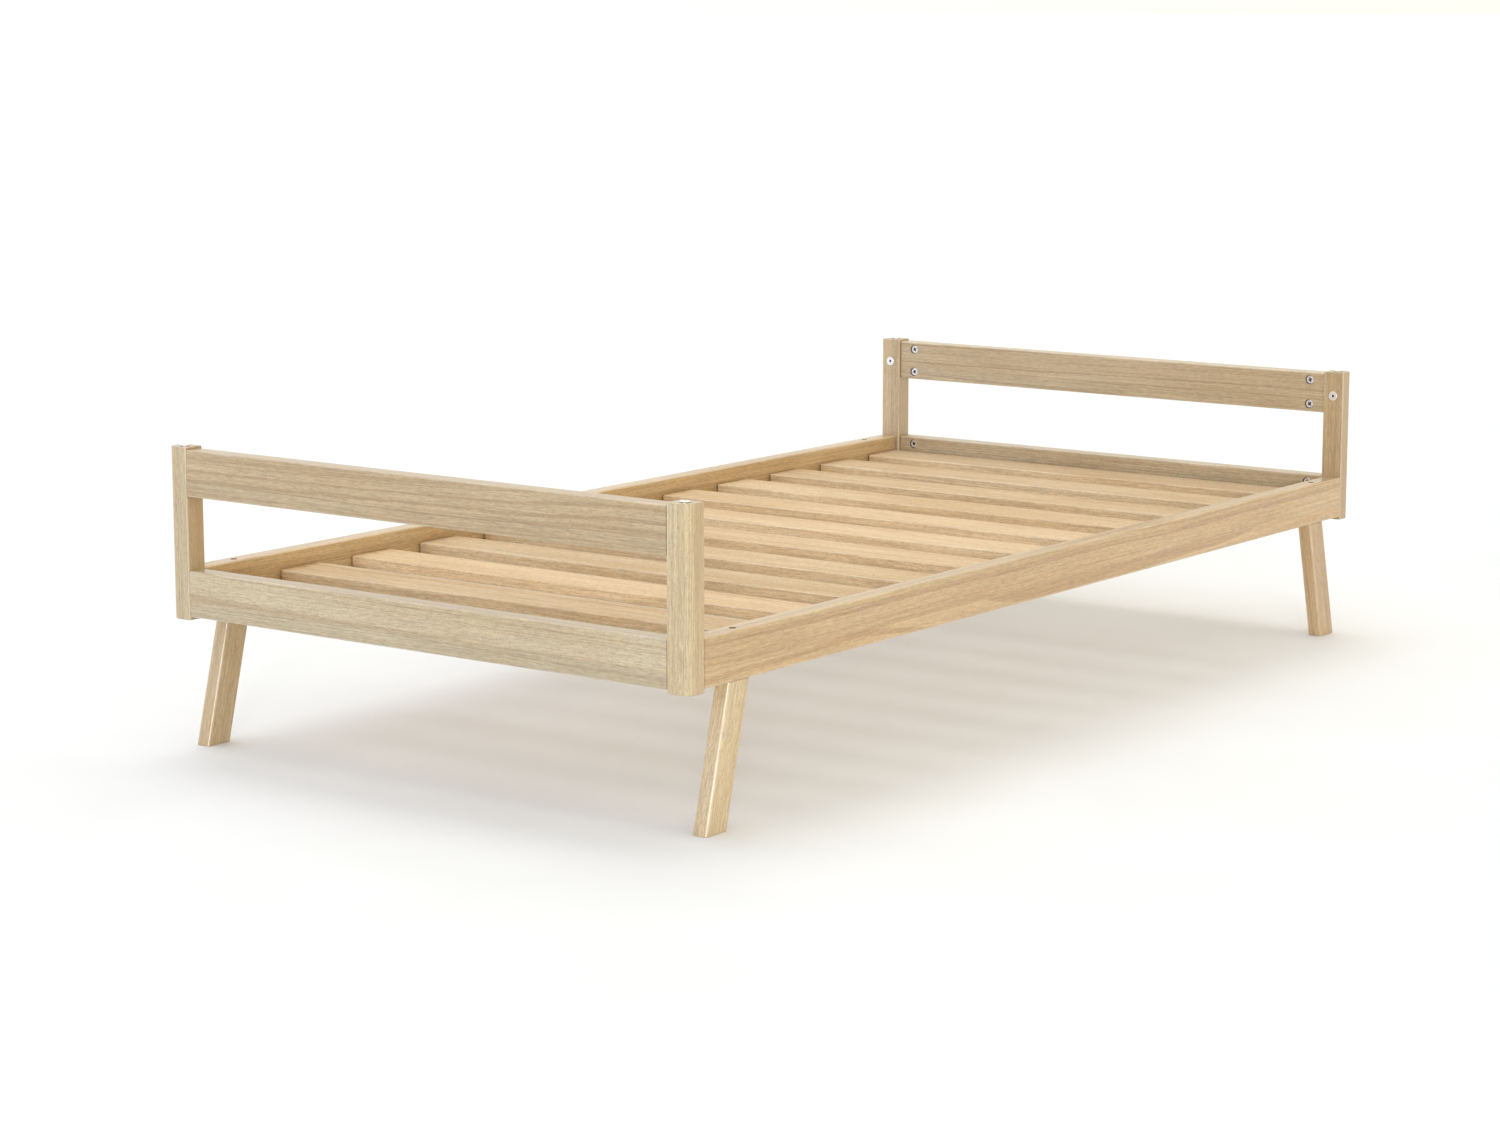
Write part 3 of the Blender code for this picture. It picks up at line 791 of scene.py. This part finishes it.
# ------------------------------------------------------------------ cam fittings
# Twenty round cam fittings of die-cast zinc, sunk in the rails' bores. Each has a rounded
# rim, a shallow groove round its hub, a cross recess for a driver and a small arrow notch
# that shows which way it grips.
CAM_RADIUS = 0.0075
CAM_DEPTH = 0.0125
CAM_HUB = 0.0047
CROSS_LONG = 0.0039
CROSS_SHORT = 0.00125
CROSS_DEEP = 0.0032
CROSS_TURN = math.radians(30)
CAM_SLACK = 0.15  # how far each is turned past or short of that
ZINC_BRIGHT = (0.93, 0.925, 0.915)
ZINC_DULL = (0.78, 0.78, 0.775)


def cross_outline(reach, half_arm):
    """The outline of a cross recess, its arms drawn in a little at their tips."""
    tip = half_arm * 0.75
    quarter = ((reach, -tip), (reach, tip), (half_arm, half_arm))
    outline = []
    for cosine, sine in ((1, 0), (0, 1), (-1, 0), (0, -1)):
        outline += [(u * cosine - v * sine, u * sine + v * cosine) for u, v in quarter]
    return outline


zinc = plated("die_cast_zinc", ZINC_BRIGHT, ZINC_DULL, 0.30, 0.00006)
cam_pattern = turned("cam_fitting", [
    (CAM_RADIUS - 0.0006, -CAM_DEPTH), (CAM_RADIUS, -CAM_DEPTH + 0.0006),
    *rounded_rim(CAM_RADIUS, 0.0006),
    (CAM_HUB + 0.0009, 0.0), (CAM_HUB + 0.0006, -0.0005), (CAM_HUB + 0.0003, -0.0005),
    (CAM_HUB, -0.0001),
])
sink(cam_pattern, cross_outline(CROSS_LONG, CROSS_SHORT), -0.0001, CROSS_DEEP, 0.0005)
sink(cam_pattern, ((0.0057, -0.0006), (0.0069, 0.0), (0.0057, 0.0006)), 0.0, 0.0006, 0.0001)
cam_pattern = taken_off(cam_pattern)
cam_seats = [
    (f"{end}_{level}_{side}_{height}", (-end_sign, 0, 0))
    for end, end_sign in ENDS for level in ("bottom", "top")
    for side, _ in SIDES for height in HEIGHTS
] + [
    (f"side_{side}_{end}", (0, -side_sign, 0)) for side, side_sign in SIDES for end, _ in ENDS
]
for seat_name, direction in cam_seats:
    cam = seat_on(cam_pattern, f"{seat_name}_cam_fitting", f"cam_{seat_name}", direction,
                  CROSS_TURN + key_chance.uniform(-CAM_SLACK, CAM_SLACK))
    show_for(cam, zinc, "cam_metal", f"cam_{seat_name}")

# ------------------------------------------------------------------ legs
# Four flat legs of solid beech that splay towards the ends of the bed, each sawn level at
# its foot and its head and well eased on its long arrises. Each stands under a side rail
# and is held up to it by one long bolt.
LEG_DEPTH = 0.049
LEG_EASE = 0.0045
LEG_END_EASE = 0.0012
LEG_ARRIS_STEPS = 8
LEG_BORE = ((0.0033, 0.0303),)
WHOLE_BOARD = 0.2  # wider than any board, so that no glued seam falls in it
# Each leg's tone. The left foot leg's is partly painted shade and the right foot leg's is
# partly painted light.
LEG_TONES_AND_PAINTED_LIGHT = {
    "foot_right": (1.08, 1.13, 1.17), "foot_left": (0.80, 0.81, 0.80),
    "head_right": (0.86, 0.81, 0.77), "head_left": (0.85, 0.87, 0.88),
}

leg_beech = beech("lacquered_beech_legs", WHOLE_BOARD, LACQUERED, 0.28)
for end, end_sign in ENDS:
    for side, _ in SIDES:
        node = f"leg_{end}_{side}"
        low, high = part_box(node)
        bolt_low, bolt_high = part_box(f"leg_bolt_{end}_{side}")
        bolt_middle = (bolt_low + bolt_high) / 2
        leg = plane_board(
            f"{end}_{side}_leg", node, STANDING, (LEG_DEPTH, high.y - low.y),
            [LEG_EASE] * 4, LEG_END_EASE, [LEG_ARRIS_STEPS] * 4,
            log_spot(WHOLE_BOARD, WHOLE_BOARD / 2), LEG_TONES_AND_PAINTED_LIGHT[f"{end}_{side}"],
            lean=-end_sign * (high.x - low.x - LEG_DEPTH),
            holes=(((bolt_middle.x, bolt_middle.y, high.z), (0, 0, -1), LEG_BORE),),
        )
        show_for(leg, leg_beech, "leg_wood", node)

# ------------------------------------------------------------------ leg bolts
# Four long steel bolts with cylinder heads and hexagon sockets. Each goes down through a
# side rail, its head sunk well below the rail's top, and bites into the leg under it.
LEG_BOLT_HEAD = (0.005, 0.0005, 0.006)
LEG_BOLT_SHANK = 0.003
LEG_SOCKET_DEEP = 0.003
STEEL_BRIGHT = (0.50, 0.51, 0.53)
STEEL_DULL = (0.33, 0.34, 0.36)

steel = plated("zinc_plated_steel", STEEL_BRIGHT, STEEL_DULL, 0.30)
leg_bolt_low, leg_bolt_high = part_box("leg_bolt_foot_right")
leg_bolt_length = leg_bolt_high.z - leg_bolt_low.z
head_radius, head_rim, head_height = LEG_BOLT_HEAD
leg_bolt_pattern = turned("leg_bolt", [
    (LEG_BOLT_SHANK - head_rim, -leg_bolt_length), (LEG_BOLT_SHANK, head_rim - leg_bolt_length),
    (LEG_BOLT_SHANK, -head_height), (head_radius, -head_height),
    *rounded_rim(head_radius, head_rim),
], sides=48)
sink(leg_bolt_pattern, hexagon, 0.0, LEG_SOCKET_DEEP, SOCKET_FLARE)
leg_bolt_pattern = taken_off(leg_bolt_pattern)
for end, _ in ENDS:
    for side, _ in SIDES:
        node = f"leg_bolt_{end}_{side}"
        leg_bolt = seat_on(leg_bolt_pattern, f"{end}_{side}_leg_bolt", node, (0, 0, 1),
                           key_chance.uniform(0, math.pi))
        show_for(leg_bolt, steel, "leg_bolt_metal", node)

# ------------------------------------------------------------------ slat ledgers
# A strip of bare beech along the inner face of each side rail, level with its underside,
# that carries the slats. Seven countersunk wood screws hold each strip to its rail.
LEDGER_EASE = 0.0015
SLAT_COUNT = 12
COUNTERSINK = ((0.0046, 0.0), (0.0023, 0.0027), (0.0023, 0.0225))
SLAT_SCREW_BITE = 0.0165
SCREW_LENGTH = 0.0345
SCREW_CROSS_DEEP = 0.0019
SCREW_SUNK = 0.0003
SCREW_BRIGHT = (0.66, 0.60, 0.46)
SCREW_DULL = (0.46, 0.40, 0.29)
BARE = 0.56  # roughness of wood with no lacquer
BARE_TONE = (1.06, 1.05, 1.08)

bare_beech = beech("bare_beech_ledgers", WHOLE_BOARD, BARE, 0.34, lacquer=False)
plated_screw = plated("yellow_plated_screws", SCREW_BRIGHT, SCREW_DULL, 0.28)
screw_pattern = turned("wood_screw", [
    (0.0003, -SCREW_LENGTH), (0.0018, -SCREW_LENGTH + 0.004), (0.0018, -0.0026),
    (0.0040, -0.0006), (0.0041, -0.0004), (0.0040, -0.0002), (0.0038, 0.0),
], sides=32)
sink(screw_pattern, cross_outline(0.0021, 0.0005), 0.0, SCREW_CROSS_DEEP, 0.0002)
screw_pattern = taken_off(screw_pattern)


def drive(name, mouth, out):
    """A wood screw driven in until its head lies just under the face."""
    screw = seat_at(screw_pattern, name, Vector(mouth) - SCREW_SUNK * Vector(out), out,
                    key_chance.uniform(0, math.pi))
    show_for(screw, plated_screw, "leg_bolt_metal")


slat_nodes = [f"slat_{count + 1:02d}" for count in range(SLAT_COUNT)]
for side, side_sign in SIDES:
    node = f"ledger_{side}"
    low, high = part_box(node)
    middle_y = (low.y + high.y) / 2
    spots = ledger_screw_spots(side, side_sign)
    holes = [(spot, (0, side_sign, 0), COUNTERSINK) for spot in spots]
    for slat_node in slat_nodes:
        slat_low, slat_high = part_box(slat_node)
        holes.append((((slat_low.x + slat_high.x) / 2, middle_y, high.z), (0, 0, -1),
                      ((SCREW_PILOT, SLAT_SCREW_BITE),)))
    ledger = plane_board(
        f"{side}_ledger", node, ALONG_BED, (high.y - low.y, high.z - low.z),
        [LEDGER_EASE] * 4, LEDGER_EASE / 2, [4] * 4,
        log_spot(WHOLE_BOARD, WHOLE_BOARD / 2), BARE_TONE, holes=holes,
    )
    show_for(ledger, bare_beech, "ledger_wood", node)
    for count, spot in enumerate(spots):
        drive(f"{side}_ledger_screw_{count + 1}", spot, (0, -side_sign, 0))

# ------------------------------------------------------------------ slats
# Twelve wide slats of bare, planed beech across the bed, spaced evenly. They lie on the
# ledgers between the side rails, and a countersunk screw holds each end down.
SLAT_EASE = 0.0025
FLAT_ACROSS_BED = Matrix(((0, 1, 0, 0), (0, 0, 1, 0), (1, 0, 0, 0), (0, 0, 0, 1)))
SLAT_COUNTERSINK = ((0.0046, 0.0), (0.0023, 0.0027), (0.0023, 0.022))
slat_chance = random.Random(29)

slat_beech = beech("bare_beech_slats", WHOLE_BOARD, BARE, 0.30, lacquer=False)
for slat_node in slat_nodes:
    low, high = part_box(slat_node)
    middle_x = (low.x + high.x) / 2
    screw_spots = []
    for side, _ in SIDES:
        ledger_low, ledger_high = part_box(f"ledger_{side}")
        screw_spots.append((middle_x, (ledger_low.y + ledger_high.y) / 2, high.z))
    shade = slat_chance.uniform(0.94, 1.03)
    slat = plane_board(
        f"bed_{slat_node}", slat_node, FLAT_ACROSS_BED, (high.z - low.z, high.x - low.x),
        [SLAT_EASE] * 4, SLAT_EASE / 2, [5] * 4, log_spot(WHOLE_BOARD, WHOLE_BOARD / 2),
        tuple(channel * shade for channel in BARE_TONE),
        holes=[(spot, (0, 0, -1), SLAT_COUNTERSINK) for spot in screw_spots],
    )
    show_for(slat, slat_beech, "slat_wood", slat_node)
    for (side, _), spot in zip(SIDES, screw_spots):
        drive(f"{slat_node}_screw_{side}", spot, (0, 0, 1))

# ------------------------------------------------------------------ floor, light and camera
# A pale matt floor that runs on out of sight, and a bright room, cool towards the foot end
# and warm on the near side. One broad light stands overhead, and one smaller light stands
# low before the near corner of the foot end, where it draws bright lines on the arrises.
FLOOR_RADIUS = 90.0
FLOOR_MIDDLE = 3.0
FLOOR_POINTS = 96
FLOOR_SPECULAR = 0.25
FLOOR_PALE = (0.82, 0.835, 0.85)
FLOOR_PALER = (0.85, 0.865, 0.88)
ROOM_LIGHT = 0.95
ROOM_SEEN = 1.15
ROOM_COOL = (0.94, 1.0, 1.15)
ROOM_WARM = (1.05, 0.96, 0.72)
WARM_SIDE = (0.75, -0.66, 0.0)
SOFT_LIGHTS = (
    ("overhead_light", (0.25, 0.35, 1.0), 50, 0.9),
    ("front_light", (-0.80, -0.58, 0.17), 11, 0.90),
)
CAMERA_PLACE = (-4.691, -3.346, 1.192)
CAMERA_HEADING = 36.4908
CAMERA_DIP = 9.6854
CAMERA_ROLL = -0.033
CAMERA_LENS = 83.47
CAMERA_SENSOR = 36.0
CAMERA_REACH = 200.0

bm = bmesh.new()
middle = bm.verts.new((0, 0, 0))
inner, outer = (
    [bm.verts.new((radius * math.cos(2 * math.pi * step / FLOOR_POINTS),
                   radius * math.sin(2 * math.pi * step / FLOOR_POINTS), 0))
     for step in range(FLOOR_POINTS)]
    for radius in (FLOOR_MIDDLE, FLOOR_RADIUS)
)
for step in range(FLOOR_POINTS):
    after = (step + 1) % FLOOR_POINTS
    bm.faces.new((middle, inner[step], inner[after]))
    bm.faces.new((inner[step], outer[step], outer[after], inner[after]))
floor = new_piece("studio_floor", bm)
floor_paint = bpy.data.materials.new("pale_floor")
floor_paint.use_nodes = True
tree = floor_paint.node_tree
shader = tree.nodes["Principled BSDF"]
place = tree.nodes.new("ShaderNodeTexCoord").outputs["Object"]
cloud = ease_between(tree, mottle(tree, arrow(tree, "MULTIPLY", place, (2.0, 2.0, 2.0)), 4.0),
                     0.35, 0.65)
feed(tree, shader.inputs["Base Color"], tinted(tree, "MIX", cloud, FLOOR_PALE, FLOOR_PALER))
feed(tree, shader.inputs["Roughness"], ease_between(tree, cloud, 0.0, 1.0, 0.62, 0.70))
shader.inputs["Specular IOR Level"].default_value = FLOOR_SPECULAR
floor.data.materials.append(floor_paint)

room = bpy.data.worlds.new("bright_room")
room.use_nodes = True
tree = room.node_tree
seen = tree.nodes.new("ShaderNodeLightPath").outputs["Is Camera Ray"]
feed(tree, tree.nodes["Background"].inputs["Strength"],
     ease_between(tree, seen, 0.0, 1.0, ROOM_LIGHT, ROOM_SEEN))
towards = tree.nodes.new("ShaderNodeTexCoord").outputs["Generated"]
warm_side = tree.nodes.new("ShaderNodeVectorMath")
warm_side.operation = "DOT_PRODUCT"
feed(tree, warm_side.inputs[0], towards)
feed(tree, warm_side.inputs[1], WARM_SIDE)
tint = tinted(tree, "MIX", ease_between(tree, warm_side.outputs["Value"], -0.9, 0.9),
              ROOM_COOL, ROOM_WARM)
feed(tree, tree.nodes["Background"].inputs["Color"], tint)
scene.world = room

for name, bearing, spread, strength in SOFT_LIGHTS:
    lamp = bpy.data.lights.new(name, "SUN")
    lamp.angle = math.radians(spread)
    lamp.energy = strength
    light = bpy.data.objects.new(name, lamp)
    scene.collection.objects.link(light)
    light.matrix_world = Vector(bearing).to_track_quat("Z", "Y").to_matrix().to_4x4()

camera_data = bpy.data.cameras.new("camera")
camera_data.sensor_width = CAMERA_SENSOR
camera_data.lens = CAMERA_LENS
camera_data.clip_end = CAMERA_REACH
camera = bpy.data.objects.new("camera", camera_data)
scene.collection.objects.link(camera)
heading = math.radians(CAMERA_HEADING)
dip = math.radians(CAMERA_DIP)
sight = Vector((math.cos(heading) * math.cos(dip), math.sin(heading) * math.cos(dip),
                -math.sin(dip)))
camera.matrix_world = (
    Matrix.Translation(Vector(CAMERA_PLACE)) @ sight.to_track_quat("-Z", "Y").to_matrix()
    .to_4x4() @ Matrix.Rotation(math.radians(CAMERA_ROLL), 4, "Z")
)
scene.camera = camera
scene.view_settings.view_transform = "Standard"
